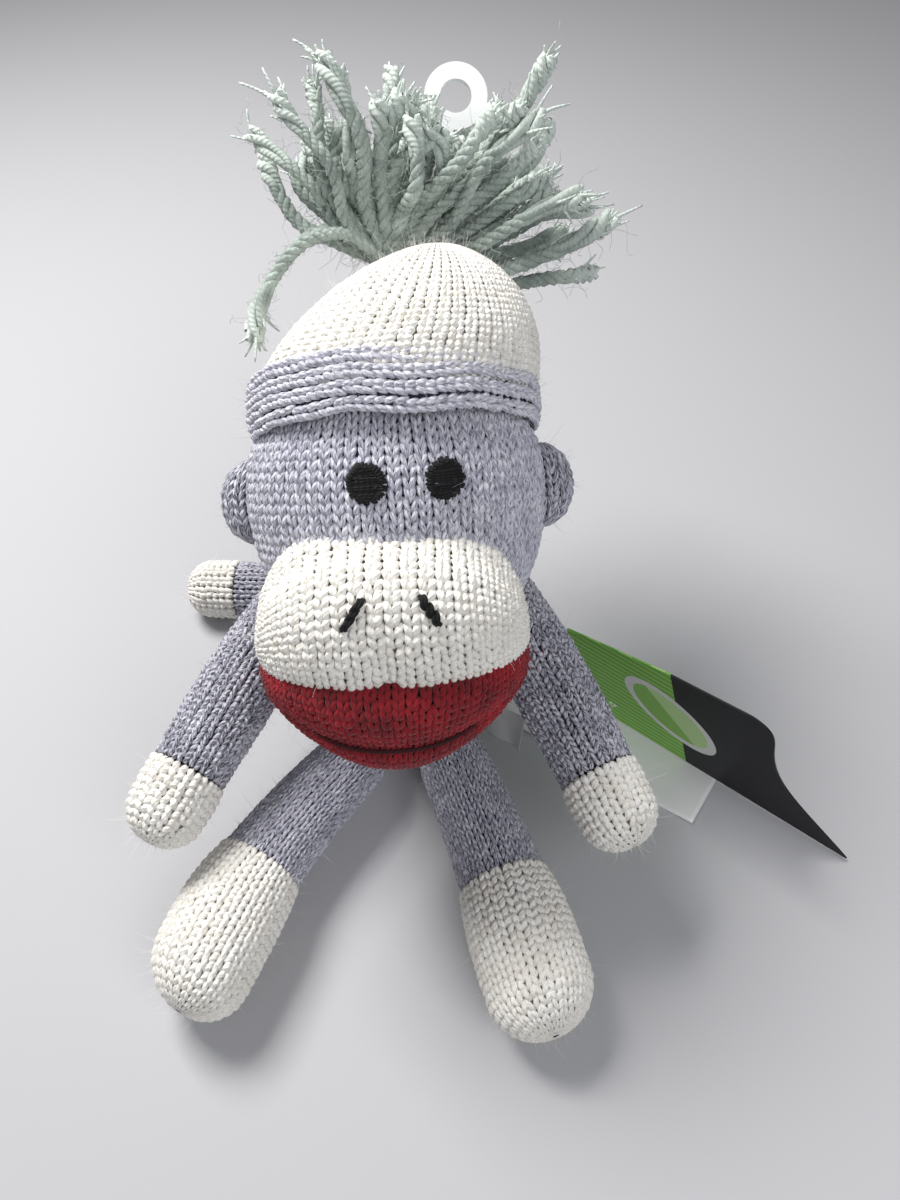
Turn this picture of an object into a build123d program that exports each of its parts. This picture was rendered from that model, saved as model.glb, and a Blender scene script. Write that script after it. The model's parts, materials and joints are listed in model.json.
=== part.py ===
"""Knitted stuffed monkey with a bobble hat, seated, as separate sewn pieces.

Millimetres. +Z is up, the monkey faces -Y, and the origin is the middle of the flat seat it rests on.
Every stuffed piece is a knitted casing (a thin shell) with its own stuffing inside.
"""
import math
import os

from build123d import *

os.makedirs("parts", exist_ok=True)

# ---- driving dimensions -------------------------------------------------------------------------
WALL = 1.2          # thickness of the knitted fabric
FILL_GAP = 0.2      # slack between a casing and its stuffing
SEAM_GAP = 0.4      # clearance between a limb's sewn end and its seam ring

TORSO_Y = 2.0       # middle of the torso, front to back
TORSO_HEIGHT = 57.0
TORSO_RADIUS = 25.6
HIPS_Z = 22.0       # middle of the widest part
CHEST_RADIUS = 15.5
NECK_SEAM_RADIUS = 7.0
NECK_THREAD_RADIUS = 0.6
NECK_SEAM_Z = 57.65

HEAD_CENTRE = Vector(0, -8, 95)
HEAD_TILT = 40.0    # the face looks up by this angle
HEAD_ROLL = 3.5     # the head leans to its right by this angle
HEAD_RADIUS = 33.5
HEAD_HALF_HEIGHT = 37.0
HEAD_CAP_RADIUS = 35.0

MUZZLE_RADIUS = 22.8
MUZZLE_HALF_WIDTH = 30.0
MUZZLE_FORWARD = 21.0   # its middle, ahead of the head's axis
MUZZLE_DOWN = 29.5      # and below the head's middle
LIP_TOP = -39.0     # height of the cream and red join on the head's axis

CUFF_HEIGHT = 12.5
CUFF_TILT = 8.0     # the hat's rim drops towards the back of the head
CUFF_MIDDLE = 23.0

ARM_END = 9.5       # radius of the arm where it is sewn on
ARM_STATIONS = [(9.5, 0), (9.5, 8), (11.1, 22), (11.8, 72)]
HAND_LENGTH = 24.0
LEG_END = 10.5
LEG_STATIONS = [(10.5, 0), (10.5, 6), (11.4, 24), (14.3, 46), (14.3, 63)]
FOOT_LENGTH = 46.0
TAIL_END = 8.5
TAIL_STATIONS = [(8.5, 0), (8.9, 20), (8.6, 59)]
TAIL_TIP_LENGTH = 18.0

# (ring radius, thread radius) of the sewing at each limb's root
ARM_SEAM = (4.5, 0.8)
LEG_SEAM = (6.0, 1.1)
TAIL_SEAM = (3.0, 0.5)
TAIL_SEAM_SLACK = 0.3

# where each limb is sewn on, and the middle of its far end
SHOULDERS = {"left": (Vector(-25.5, 4, 53.5), Vector(-59, -61, 36)),
             "right": (Vector(25.5, 4, 53.5), Vector(56, -60, 37))}
HIPS = {"left": (Vector(-15, -33, 14.6), Vector(-45.7, -89, 14.6)),
        "right": (Vector(15, -33, 14.6), Vector(34.3, -92, 14.6))}
TAIL_ROOT = Vector(-8, 35, 10.4)
TAIL_FAR = Vector(-67, 38, 9.4)

TASSEL_ROOT = (4.0, 15.0, 58.6)  # on the hat's crown, in the head's own frame
TASSEL_LEAN = 25.0
TASSEL_LENGTH = 50.0
TASSEL_BUNDLES = 8
TASSEL_SPLAY = 40.0

HOOK_REACH = 40.0       # from the tassel's root to the middle of the hook's eye
HOOK_EYE_RADIUS = 3.8
HOOK_RING_RADIUS = 7.6
HOOK_THICKNESS = 2.0

CARD_THICKNESS = 0.5
CARD_LEAN = 12.0
CARD_CORNER = Vector(62, -6, 1.2)
CARD_FOOT_DIRECTION = Vector(0.788, -0.616, 0)

LABEL_LENGTH = 71.0
LABEL_WIDTH = 25.0
LABEL_THICKNESS = 0.4


# ---- helpers ------------------------------------------------------------------------------------
def save(builder, name, place=None):
    """Write one finished sub-part as its own STEP file, moved to its place."""
    piece = builder.part if place is None else place * builder.part
    piece.label = name
    export_step(piece, f"parts/{name}.step")
    print(f"{name}: {len(piece.solids())} solid(s), {piece.volume:.0f} mm3")
    return piece


def turned(outline):
    """A round solid turned about Z from a half outline that closes on the axis."""
    with BuildPart() as solid:
        with BuildSketch(Plane.XZ):
            add(outline.line)
            make_face()
        revolve(axis=Axis.Z)
    return solid


def limb(stations, inset=0.0):
    """A stuffed tube along +Z with ball ends, through (radius, distance) stations, inset all round."""
    rings = [(radius - inset, distance) for radius, distance in stations]
    low, high = (0, rings[0][1] - rings[0][0]), (0, rings[-1][1] + rings[-1][0])
    with BuildLine() as outline:
        RadiusArc(low, rings[0], -rings[0][0])
        Polyline(*rings)
        RadiusArc(rings[-1], high, -rings[-1][0])
        Line(high, low)
    return turned(outline)


def towards(start, end):
    """The plane at start whose Z runs towards end, with its X level."""
    axis = (end - start).normalized()
    level = axis.cross(Vector(0, 0, 1)).normalized()
    return Plane(origin=start, x_dir=level, z_dir=axis)


def seam_ring(name, pivot, towards_body, end_radius, ring_radius, thread_radius):
    """The ring of sewing between a limb's rounded end and the body that it is sewn to."""
    reach = end_radius + thread_radius + SEAM_GAP
    offset = math.sqrt(reach**2 - ring_radius**2)
    with BuildPart() as ring:
        Torus(major_radius=ring_radius, minor_radius=thread_radius)
    plane = Plane(origin=pivot + towards_body.normalized() * offset, z_dir=towards_body)
    save(ring, name, plane.location)


def sewn_limb(names, stations, tip_length, place):
    """A limb in three pieces: the grey sleeve, the cream end and the stuffing."""
    whole = limb(stations)
    hollow = limb(stations, WALL)
    far = stations[-1][0] + stations[-1][1]
    seam = far - tip_length
    with BuildPart() as sleeve:
        add(whole.part)
        add(hollow.part, mode=Mode.SUBTRACT)
        split(bisect_by=Plane.XY.offset(seam), keep=Keep.BOTTOM)
    save(sleeve, names[0], place)
    with BuildPart() as end:
        add(whole.part)
        add(hollow.part, mode=Mode.SUBTRACT)
        split(bisect_by=Plane.XY.offset(seam), keep=Keep.TOP)
    save(end, names[1], place)
    save(limb(stations, WALL + FILL_GAP), names[2], place)


# ---- torso --------------------------------------------------------------------------------------
def torso_solid(inset):
    """The pear-shaped torso, inset all round: a ball of hips, a ball of shoulders and a cone between."""
    hips, chest = TORSO_RADIUS - inset, CHEST_RADIUS - inset
    chest_z = TORSO_HEIGHT - CHEST_RADIUS
    slope = math.asin((TORSO_RADIUS - CHEST_RADIUS) / (chest_z - HIPS_Z))
    seat_radius = math.sqrt(hips**2 - (HIPS_Z - inset) ** 2)
    waist = (hips * math.cos(slope), HIPS_Z + hips * math.sin(slope))
    neck = (chest * math.cos(slope), chest_z + chest * math.sin(slope))
    with BuildLine() as outline:
        ThreePointArc((seat_radius, inset), (hips, HIPS_Z), waist)
        Line(waist, neck)
        RadiusArc(neck, (0, chest_z + chest), -chest)
        Polyline((0, chest_z + chest), (0, inset), (seat_radius, inset))
    return turned(outline)


torso_place = Location((0, TORSO_Y, 0))
with BuildPart() as torso_casing:
    add(torso_solid(0).part)
    add(torso_solid(WALL).part, mode=Mode.SUBTRACT)
save(torso_casing, "torso_casing", torso_place)
save(torso_solid(WALL + FILL_GAP), "torso_stuffing", torso_place)

with BuildPart() as neck_seam:
    Torus(major_radius=NECK_SEAM_RADIUS, minor_radius=NECK_THREAD_RADIUS)
save(neck_seam, "neck_seam", Location((0, 0, NECK_SEAM_Z)))

# ---- arms, legs and tail ------------------------------------------------------------------------
for side, (pivot, far_end) in SHOULDERS.items():
    inward = Vector(-pivot.X, 2, -14)
    seam_ring(f"arm_seam_{side}", pivot, inward, ARM_END, *ARM_SEAM)
    names = (f"arm_sleeve_{side}", f"hand_{side}", f"arm_stuffing_{side}")
    sewn_limb(names, ARM_STATIONS, HAND_LENGTH, towards(pivot, far_end).location)

for side, (pivot, far_end) in HIPS.items():
    inward = Vector(0, TORSO_Y, HIPS_Z) - pivot
    seam_ring(f"leg_seam_{side}", pivot, inward, LEG_END, *LEG_SEAM)
    names = (f"leg_sleeve_{side}", f"foot_{side}", f"leg_stuffing_{side}")
    sewn_limb(names, LEG_STATIONS, FOOT_LENGTH, towards(pivot, far_end).location)

tail_inward = Vector(0, TORSO_Y, HIPS_Z) - TAIL_ROOT
seam_ring("tail_seam", TAIL_ROOT, tail_inward, TAIL_END + TAIL_SEAM_SLACK, *TAIL_SEAM)
tail_names = ("tail_sleeve", "tail_tip", "tail_stuffing")
sewn_limb(tail_names, TAIL_STATIONS, TAIL_TIP_LENGTH, towards(TAIL_ROOT, TAIL_FAR).location)

# ---- head ---------------------------------------------------------------------------------------
# The head's own frame: X to its left ear in front view, Y to the back of the head, Z to the crown.
tilt, roll = math.radians(HEAD_TILT), math.radians(HEAD_ROLL)
up_tilted = Vector(0, math.sin(tilt), math.cos(tilt))
head_x = Vector(1, 0, 0) * math.cos(roll) + up_tilted * math.sin(roll)
head_z = up_tilted * math.cos(roll) - Vector(1, 0, 0) * math.sin(roll)
head_place = Plane(origin=HEAD_CENTRE, x_dir=head_x, z_dir=head_z).location


def head_solid(inset):
    """The barrel-shaped head, inset all round: half a ball, a short tube and a flatter cap."""
    radius, cap = HEAD_RADIUS - inset, HEAD_CAP_RADIUS - inset
    ball_z, cap_z = HEAD_RADIUS - HEAD_HALF_HEIGHT, HEAD_HALF_HEIGHT - HEAD_CAP_RADIUS
    rim_z = cap_z + math.sqrt(cap**2 - radius**2)
    with BuildLine() as outline:
        RadiusArc((0, ball_z - radius), (radius, ball_z), -radius)
        Line((radius, ball_z), (radius, rim_z))
        RadiusArc((radius, rim_z), (0, cap_z + cap), -cap)
        Line((0, cap_z + cap), (0, ball_z - radius))
    return turned(outline)


head_outer = head_solid(0)
with BuildPart() as head_casing:
    add(head_outer.part)
    add(head_solid(WALL).part, mode=Mode.SUBTRACT)
save(head_casing, "head_casing", head_place)
save(head_solid(WALL + FILL_GAP), "head_stuffing", head_place)


# ---- muzzle and mouth ---------------------------------------------------------------------------
def muzzle_solid(inset):
    """The muzzle before it meets the face, in the head's frame: a level capsule, inset all round."""
    reach = MUZZLE_HALF_WIDTH - MUZZLE_RADIUS
    with BuildPart() as capsule:
        add(limb([(MUZZLE_RADIUS, -reach), (MUZZLE_RADIUS, reach)], inset).part, rotation=(0, 90, 0))
    with BuildPart() as placed:
        with Locations((0, -MUZZLE_FORWARD, -MUZZLE_DOWN)):
            add(capsule.part)
    return placed


def muzzle_on_face(inset):
    """The muzzle cut to the curve of the face."""
    with BuildPart() as cut:
        add(muzzle_solid(inset).part)
        add(head_solid(-FILL_GAP).part, mode=Mode.SUBTRACT)
    return cut


for name, keep in (("muzzle_upper", Keep.TOP), ("mouth", Keep.BOTTOM)):
    with BuildPart() as muzzle_half:
        add(muzzle_on_face(0).part)
        split(bisect_by=Plane.XY.offset(LIP_TOP), keep=keep)
        add(muzzle_solid(WALL).part, mode=Mode.SUBTRACT)
    save(muzzle_half, name, head_place)
save(muzzle_on_face(WALL + FILL_GAP), "muzzle_stuffing", head_place)

# The line between the lips is a strip of dark thread lying on the mouth.
LINE_DROP, LINE_WIDTH = 17.0, 0.8
line_reach = MUZZLE_HALF_WIDTH - MUZZLE_RADIUS
line_depth = math.sqrt(MUZZLE_RADIUS**2 - (LINE_DROP - LINE_WIDTH / 2) ** 2)
with BuildPart() as mouth_line:
    with BuildSketch(Plane((0, -MUZZLE_FORWARD, -MUZZLE_DOWN - LINE_DROP - LINE_WIDTH / 2))):
        SlotCenterToCenter(2 * line_reach, 2 * (line_depth + 0.8))
        SlotCenterToCenter(2 * line_reach, 2 * (line_depth + 0.2), mode=Mode.SUBTRACT)
        with Locations((0, MUZZLE_RADIUS - 2)):
            Rectangle(3 * MUZZLE_HALF_WIDTH, 2 * MUZZLE_RADIUS, mode=Mode.SUBTRACT)
    extrude(amount=LINE_WIDTH)
save(mouth_line, "mouth_line", head_place)


# ---- eyes, nostrils and ears --------------------------------------------------------------------
EYE_SPACING, EYE_MIDDLE, EYE_HEIGHT, EYE_RADIUS, EYE_THICKNESS = 8.1, 4.4, 7.0, 4.1, 1.2
NOSTRIL_SPACING, NOSTRIL_HEIGHT, NOSTRIL_LENGTH = 8.2, -19.5, 6.5
NOSTRIL_RADIUS, NOSTRIL_SLANT = 0.9, 22
EAR_RADIUS, EAR_THICKNESS, EAR_OUT, EAR_HEIGHT = 10.0, 7.0, 33.5, 2.0


def facing_out(centre, radius, target):
    """The plane touching the ball at centre, in the direction of target, with its Z outwards."""
    normal = (target - centre).normalized()
    level = normal.cross(Vector(0, 0, 1)).normalized()
    return Plane(origin=centre + normal * radius, x_dir=level, z_dir=normal)


for side, sign in (("left", -1), ("right", 1)):
    with BuildPart() as eye:
        with BuildSketch(Plane.XY.offset(0.2)):
            Circle(EYE_RADIUS)
        extrude(amount=EYE_THICKNESS)
        fillet(eye.edges().group_by(Axis.Z)[-1], 0.5)
    eye_x = EYE_MIDDLE + sign * EYE_SPACING
    face_point = Vector(eye_x, -math.sqrt(HEAD_RADIUS**2 - eye_x**2), EYE_HEIGHT)
    eye_plane = facing_out(Vector(0, 0, EYE_HEIGHT), HEAD_RADIUS, face_point)
    save(eye, f"eye_{side}", head_place * eye_plane.location)

    with BuildPart() as nostril:
        half = NOSTRIL_LENGTH / 2
        add(limb([(NOSTRIL_RADIUS, -half), (NOSTRIL_RADIUS, half)]).part, rotation=(90, 0, 0))
    ball = Vector(sign * (MUZZLE_HALF_WIDTH - MUZZLE_RADIUS), -MUZZLE_FORWARD, -MUZZLE_DOWN)
    nostril_point = Vector(sign * NOSTRIL_SPACING, -MUZZLE_FORWARD - MUZZLE_RADIUS, NOSTRIL_HEIGHT)
    nostril_plane = facing_out(ball, MUZZLE_RADIUS + NOSTRIL_RADIUS + 0.5, nostril_point)
    slant = Location((0, 0, 0), (0, 0, -sign * NOSTRIL_SLANT))
    save(nostril, f"nostril_{side}", head_place * nostril_plane.location * slant)

    with BuildPart() as ear:
        with BuildSketch(Plane.XZ.offset(-EAR_THICKNESS / 2)):
            with Locations((sign * EAR_OUT, EAR_HEIGHT)):
                Circle(EAR_RADIUS)
        extrude(amount=EAR_THICKNESS)
        fillet(ear.edges(), 2.8)
        Cylinder(HEAD_RADIUS + FILL_GAP, 60, mode=Mode.SUBTRACT)
    save(ear, f"ear_{side}", head_place)

# ---- hat ----------------------------------------------------------------------------------------
CROWN_RADIUS, CROWN_FOOT, CROWN_TOP, CROWN_CAP_RADIUS = 35.3, 22.0, 57.6, 36.0
CUFF_INNER, CUFF_WALL = 36.6, 1.8


def crown_solid(inset):
    """The dome of the hat, inset all round but for its open foot."""
    radius, cap = CROWN_RADIUS - inset, CROWN_CAP_RADIUS - inset
    cap_z = CROWN_TOP - CROWN_CAP_RADIUS
    shoulder_z = cap_z + math.sqrt(cap**2 - radius**2)
    with BuildLine() as outline:
        Line((radius, CROWN_FOOT), (radius, shoulder_z))
        RadiusArc((radius, shoulder_z), (0, cap_z + cap), -cap)
        Polyline((0, cap_z + cap), (0, CROWN_FOOT), (radius, CROWN_FOOT))
    return turned(outline)


with BuildPart() as hat_crown:
    add(crown_solid(0).part)
    add(crown_solid(WALL).part, mode=Mode.SUBTRACT)
save(hat_crown, "hat_crown", head_place)
with BuildPart() as hat_stuffing:
    add(crown_solid(WALL + FILL_GAP).part)
    add(head_solid(-FILL_GAP).part, mode=Mode.SUBTRACT)
save(hat_stuffing, "hat_stuffing", head_place)

drop = math.radians(CUFF_TILT)
cuff_plane = Plane(origin=(0, 0, CUFF_MIDDLE), z_dir=(0, math.sin(drop), math.cos(drop)))
with BuildPart() as hat_cuff:
    with BuildSketch(cuff_plane.offset(-CUFF_HEIGHT / 2)):
        Circle(CUFF_INNER + CUFF_WALL)
        Circle(CUFF_INNER, mode=Mode.SUBTRACT)
    extrude(amount=CUFF_HEIGHT)
save(hat_cuff, "hat_cuff", head_place)

# ---- tassel and hang hook -----------------------------------------------------------------------
# Their frame: Z out of the crown along the tassel, Y to the back of the head.
lean = math.radians(TASSEL_LEAN)
tassel_axis = Vector(math.sin(lean), 0, math.cos(lean))
tassel_x = Vector(math.cos(lean), 0, -math.sin(lean))
tassel_place = head_place * Plane(origin=TASSEL_ROOT, x_dir=tassel_x, z_dir=tassel_axis).location
TIE_HEIGHT, TIE_RADIUS = 6.0, 5.0
BUNDLE_START, BUNDLE_ROOT, BUNDLE_TIP = 9.5, 1.6, 7.0

with BuildPart() as tassel_tie:
    with BuildSketch(Plane.XY.offset(0.4)):
        Circle(TIE_RADIUS)
    extrude(amount=TIE_HEIGHT)
    fillet(tassel_tie.edges(), 1.6)
save(tassel_tie, "tassel_tie", tassel_place)

with BuildPart() as tassel:
    for index in range(TASSEL_BUNDLES):
        azimuth = math.radians((index + 0.5) * 360 / TASSEL_BUNDLES)
        splay = math.radians(TASSEL_SPLAY)
        outward = Vector(math.cos(azimuth), math.sin(azimuth), 0)
        direction = outward * math.sin(splay) + Vector(0, 0, math.cos(splay))
        middle = direction * (BUNDLE_START + TASSEL_LENGTH) / 2
        with Locations(Plane(origin=middle, z_dir=direction)):
            Cone(BUNDLE_ROOT, BUNDLE_TIP, TASSEL_LENGTH - BUNDLE_START)
save(tassel, "tassel", tassel_place)

SHANK_START, SHANK_WIDTH = 7.6, 3.4
with BuildPart() as hang_hook:
    with BuildSketch(Plane.XZ.offset(-HOOK_THICKNESS / 2)):
        with Locations((0, HOOK_REACH)):
            Circle(HOOK_RING_RADIUS)
            Circle(HOOK_EYE_RADIUS, mode=Mode.SUBTRACT)
        with BuildLine(mode=Mode.PRIVATE) as gap:
            mouth_left = PolarLine((0, HOOK_REACH), 12, 200)
            mouth_low = PolarLine((0, HOOK_REACH), 12, 256)
            Line(mouth_left @ 1, mouth_low @ 1)
        add(make_face(gap.line, mode=Mode.PRIVATE), mode=Mode.SUBTRACT)
        shank_top = HOOK_REACH - HOOK_RING_RADIUS + 2
        with Locations((0.6, (SHANK_START + shank_top) / 2)):
            Rectangle(SHANK_WIDTH, shank_top - SHANK_START)
    extrude(amount=HOOK_THICKNESS)
save(hang_hook, "hang_hook", tassel_place)

# ---- tags ---------------------------------------------------------------------------------------
# The card stands on its lower edge. Its frame: X along that edge, Y up the card, Z towards its front.
card_front = Vector(CARD_FOOT_DIRECTION.Y, -CARD_FOOT_DIRECTION.X, 0)
card_lean = math.radians(CARD_LEAN)
card_up = Vector(0, 0, 1) * math.cos(card_lean) + card_front * math.sin(card_lean)
card_plane = Plane(origin=CARD_CORNER, x_dir=CARD_FOOT_DIRECTION, z_dir=CARD_FOOT_DIRECTION.cross(card_up))
FASTENER_HOLE = (4.0, 9.0)

with BuildPart() as swing_card:
    with BuildSketch(card_plane):
        with BuildLine():
            top = Polyline((-12, 0), (-12, 42), (20, 49.6), (44, 52.2))
            corner = Spline((44, 52.2), (50.5, 48.6), (52.6, 40), (57.8, 24.4), (65.7, 15), (82, 0))
            Line(corner @ 1, top @ 0)
        make_face()
        with Locations(FASTENER_HOLE):
            Circle(1.6, mode=Mode.SUBTRACT)
    extrude(amount=-CARD_THICKNESS)
save(swing_card, "swing_card")

# A thin nylon loop holds the card to the torso's side seam.
seam_point = Vector(27.2, 2, 12)
hole_point = card_plane.origin + card_plane.x_dir * FASTENER_HOLE[0] + card_plane.y_dir * FASTENER_HOLE[1]
behind = card_plane.z_dir * -5
FASTENER_BEND, FASTENER_FILLET, FASTENER_RADIUS = Vector(42, -2, 14), 2.0, 0.35
with BuildPart() as tag_fastener:
    with BuildLine() as route:
        FilletPolyline(seam_point, FASTENER_BEND, hole_point - behind, hole_point + behind * 0.6,
                       radius=FASTENER_FILLET)
    with BuildSketch(Plane(origin=route.line @ 0, z_dir=route.line % 0)):
        Circle(FASTENER_RADIUS)
    sweep()
save(tag_fastener, "tag_fastener")

# The care label is a satin ribbon from the same seam, lying on the floor under the card.
LABEL_START = Vector(28.5, 7.5, 0.1)
label_direction = Vector(0.83, -0.558, 0).normalized()
with BuildPart() as care_label:
    with BuildSketch(Plane(origin=LABEL_START, x_dir=label_direction, z_dir=(0, 0, 1))):
        with Locations((5, -LABEL_WIDTH / 2)):
            Rectangle(LABEL_LENGTH, LABEL_WIDTH, align=(Align.MIN, Align.CENTER))
    extrude(amount=LABEL_THICKNESS)
save(care_label, "care_label")

with BuildPart() as small_label:
    with BuildSketch(Plane(origin=(25.5, -17, 8), x_dir=(0.8, -0.6, 0), z_dir=(-0.6, -0.8, 0))):
        Rectangle(11, 15, align=(Align.MIN, Align.MIN))
    extrude(amount=LABEL_THICKNESS)
save(small_label, "small_label")

print(f"hook eye centre {(tassel_place * Location((0, 0, HOOK_REACH))).position}")
print(f"tassel root {tassel_place.position}")
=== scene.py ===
# %% [markdown]
# # A knitted stuffed monkey
# The toy is machine knitted in thick yarn, stuffed and sewn together by hand. What makes it look real is
# the yarn: every stitch is a little V of two plump legs. So this lesson first makes the plain skin of each
# piece, then lays real yarn over it, one stitch at a time. Sizes are in metres; the monkey faces -Y.

# %% Tools, frame and units
import json
import math

import bmesh
import bpy
import numpy as np
from mathutils import Matrix, Vector

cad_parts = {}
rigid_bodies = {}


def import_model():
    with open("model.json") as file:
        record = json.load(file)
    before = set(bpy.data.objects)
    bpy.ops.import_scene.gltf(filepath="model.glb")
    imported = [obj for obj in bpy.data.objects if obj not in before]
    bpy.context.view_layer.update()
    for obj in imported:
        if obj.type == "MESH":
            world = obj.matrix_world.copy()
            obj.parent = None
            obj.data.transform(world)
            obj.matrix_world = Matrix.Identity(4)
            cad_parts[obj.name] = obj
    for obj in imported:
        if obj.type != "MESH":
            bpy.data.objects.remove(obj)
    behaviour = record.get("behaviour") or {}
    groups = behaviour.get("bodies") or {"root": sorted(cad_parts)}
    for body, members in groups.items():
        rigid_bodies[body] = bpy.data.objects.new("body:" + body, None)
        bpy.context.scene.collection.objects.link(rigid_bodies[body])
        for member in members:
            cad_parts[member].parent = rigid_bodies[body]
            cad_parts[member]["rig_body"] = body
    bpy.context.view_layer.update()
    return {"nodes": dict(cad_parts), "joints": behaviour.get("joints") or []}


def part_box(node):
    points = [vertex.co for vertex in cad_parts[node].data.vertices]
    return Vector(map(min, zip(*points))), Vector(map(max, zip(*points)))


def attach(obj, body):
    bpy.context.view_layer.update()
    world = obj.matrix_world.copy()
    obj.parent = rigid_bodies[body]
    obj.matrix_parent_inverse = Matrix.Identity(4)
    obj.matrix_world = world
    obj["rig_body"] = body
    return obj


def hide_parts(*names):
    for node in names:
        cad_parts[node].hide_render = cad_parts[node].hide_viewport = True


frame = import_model()
MM = 0.001
rng = np.random.default_rng(7)
JOINTS = {joint["name"]: joint for joint in frame["joints"]}

# %% [markdown]
# ## Camera and light
# The toy is seen from above at 50 degrees with a short lens, which makes the head look large and the feet
# small. One big soft light behind the left shoulder gives the gentle shadows of a light tent, and a weaker
# one in front fills them.

# %% Camera and light
CAMERA_LENS = 28.5
CAMERA_PLACE = Vector((13.7, -174, 256)) * MM
CAMERA_TILT = math.radians(40)
WORLD_COLOUR, WORLD_STRENGTH = (0.9, 0.92, 0.96, 1), 0.22
scene = bpy.context.scene
camera = bpy.data.objects.new("camera", bpy.data.cameras.new("camera"))
camera.data.lens = CAMERA_LENS
camera.data.clip_start = 0.01
camera.location = CAMERA_PLACE
camera.rotation_euler = (CAMERA_TILT, 0, 0)
scene.collection.objects.link(camera)
scene.camera = camera


def area_light(name, place, target, size, watts, colour=(1, 1, 1)):
    """A square soft light at place, aimed at target."""
    light = bpy.data.objects.new(name, bpy.data.lights.new(name, "AREA"))
    light.data.size = size
    light.data.energy = watts
    light.data.color = colour
    light.location = place
    light.rotation_euler = (Vector(target) - Vector(place)).to_track_quat("-Z", "Y").to_euler()
    scene.collection.objects.link(light)


area_light("key", (-0.28, 0.22, 0.62), (0, 0, 0.05), 0.28, 6.6, (1, 0.985, 0.96))
area_light("fill", (0.30, -0.5, 0.55), (0, 0, 0.06), 0.5, 2.7, (0.97, 0.98, 1))
scene.view_settings.view_transform = "Standard"
scene.world = bpy.data.worlds.new("studio")
scene.world.use_nodes = True
scene.world.node_tree.nodes["Background"].inputs["Color"].default_value = WORLD_COLOUR
scene.world.node_tree.nodes["Background"].inputs["Strength"].default_value = WORLD_STRENGTH


# %% [markdown]
# ## Yarn finishes
# Wool-like acrylic yarn is rough, a little fluffy at its edge, and made of two or three plies twisted
# together. Each stitch leg carries a UV map that runs along and across the yarn, so the twist can be drawn as
# slanted stripes in bump, and in a marl yarn as slanted dark streaks. A noise in Object coordinates breaks the
# stripes up. The sheen on the shader stands for the fuzz that is too fine to model.

# %% Material helpers
def shader(name, colour, rough, sheen=0.0):
    """A new material with its nodes, links and Principled shader."""
    material = bpy.data.materials.new(name)
    material.use_nodes = True
    tree = material.node_tree
    main = tree.nodes["Principled BSDF"]
    main.inputs["Base Color"].default_value = (*colour, 1)
    main.inputs["Roughness"].default_value = rough
    main.inputs["Sheen Weight"].default_value = sheen
    main.inputs["Sheen Roughness"].default_value = 0.5
    return material, tree, main


def node(tree, kind, inputs=None, **settings):
    """A new node with its settings, and its sockets filled with values or linked from other sockets."""
    made = tree.nodes.new(kind)
    for key, value in settings.items():
        setattr(made, key, value)
    for key, value in (inputs or {}).items():
        if isinstance(value, bpy.types.NodeSocket):
            tree.links.new(value, made.inputs[key])
        else:
            made.inputs[key].default_value = value
    return made


def blend_colours(tree, factor, first, second, mode="MIX"):
    """The colour that goes from first to second by factor."""
    mix = node(tree, "ShaderNodeMix", data_type="RGBA", blend_type=mode)
    for socket, value in ((mix.inputs[0], factor), (mix.inputs[6], first), (mix.inputs[7], second)):
        if isinstance(value, bpy.types.NodeSocket):
            tree.links.new(value, socket)
        else:
            socket.default_value = value if isinstance(value, float) else (*value, 1)
    return mix.outputs[2]


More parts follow.
